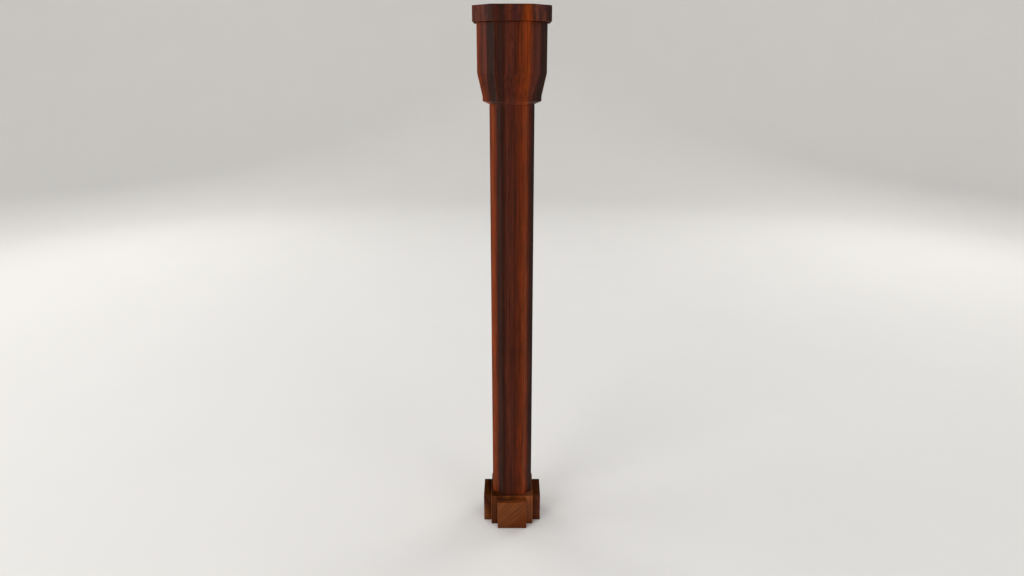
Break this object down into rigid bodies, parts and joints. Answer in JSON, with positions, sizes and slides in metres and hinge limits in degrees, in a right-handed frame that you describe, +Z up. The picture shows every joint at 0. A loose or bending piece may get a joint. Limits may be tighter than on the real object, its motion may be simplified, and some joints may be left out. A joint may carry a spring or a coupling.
{
  "type": "wooden pillar",
  "caption": "Tall free-standing wooden pillar: stepped plinth with side cheeks, chamfered eight-sided shaft, flared capital and a square abacus with cut corners.",
  "frame": {"origin": "centre of the underside, on the floor", "axes": "+Z up along the pillar's axis, -Y towards the viewer of the picture, +X to the right; the pillar is alike on its four sides"},
  "size_m": [0.338, 0.338, 2.548],
  "materials": {
    "shaft_wood": "oiled dark red-brown hardwood with upright streaks from orange to near-black, satin",
    "capital_wood": "oiled dark red-brown hardwood with broad upright streaks, satin",
    "abacus_wood": "oiled dark red-brown hardwood with curled figure, satin, end grain dark",
    "block_wood": "oiled brown hardwood, upright grain, dark on top, satin",
    "cheek_wood": "oiled orange-brown hardwood, grain laid diagonally, dark on top, satin"
  },
  "bodies": {
    "root": {"plinth_block": "block_wood", "plinth_cheek_front": "cheek_wood", "plinth_cheek_right": "cheek_wood", "plinth_cheek_back": "cheek_wood", "plinth_cheek_left": "cheek_wood", "shaft": "shaft_wood", "capital": "capital_wood", "abacus": "abacus_wood"}
  },
  "joints": []
}
